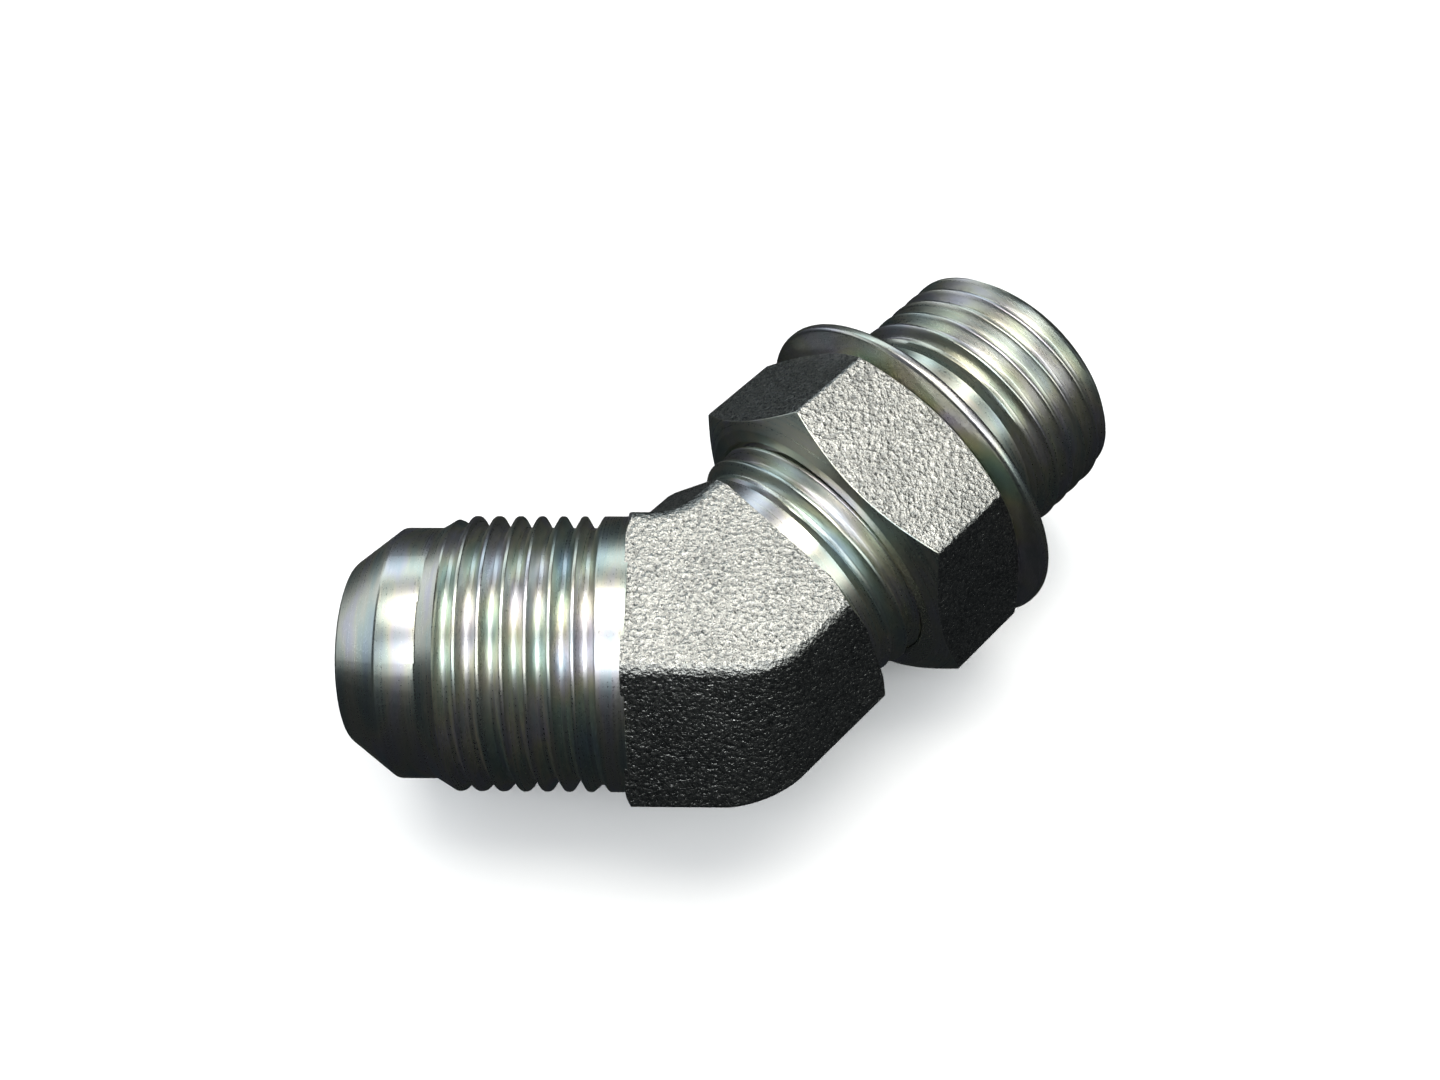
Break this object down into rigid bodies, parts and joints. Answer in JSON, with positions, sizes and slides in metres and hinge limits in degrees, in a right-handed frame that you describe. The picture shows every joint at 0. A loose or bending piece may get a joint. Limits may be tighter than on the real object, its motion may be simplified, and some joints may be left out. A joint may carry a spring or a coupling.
{
  "type": "flare fitting",
  "caption": "Forty-five degree elbow fitting with a threaded flare end, a threaded port end, a lock nut and a backup washer.",
  "frame": {"origin": "where the axes of the flare arm and the port arm cross", "axes": "flare arm along -X, port arm in the XY plane at 45 degrees between +X and +Y, +Z normal to the plane of the bend"},
  "size_m": [0.0756, 0.0572, 0.0374],
  "materials": {
    "forged_steel": "bright zinc plate over a blasted forging, turned and threaded ends",
    "nut_steel": "bright zinc plate, blasted flats and turned chamfers",
    "washer_steel": "bright zinc plate on a smooth pressed ring"
  },
  "bodies": {
    "elbow": {"elbow_body": "forged_steel"},
    "washer": {"backup_washer": "washer_steel"},
    "nut": {"lock_nut": "nut_steel"}
  },
  "joints": [
    {"name": "washer_slide", "type": "slide", "parent": "elbow", "child": "washer", "axis": [0.7071, 0.7071, 0], "range_m": [-0.003, 0.00515]},
    {"name": "nut_spin", "type": "hinge", "parent": "washer", "child": "nut", "pos_m": [0.01584, 0.01584, 0], "axis": [0.7071, 0.7071, 0], "range_deg": [-510, 875]}
  ],
  "couplings": [
    {"joint": "washer_slide", "follows": "nut_spin", "m_per_rad": 0.00033688}
  ]
}
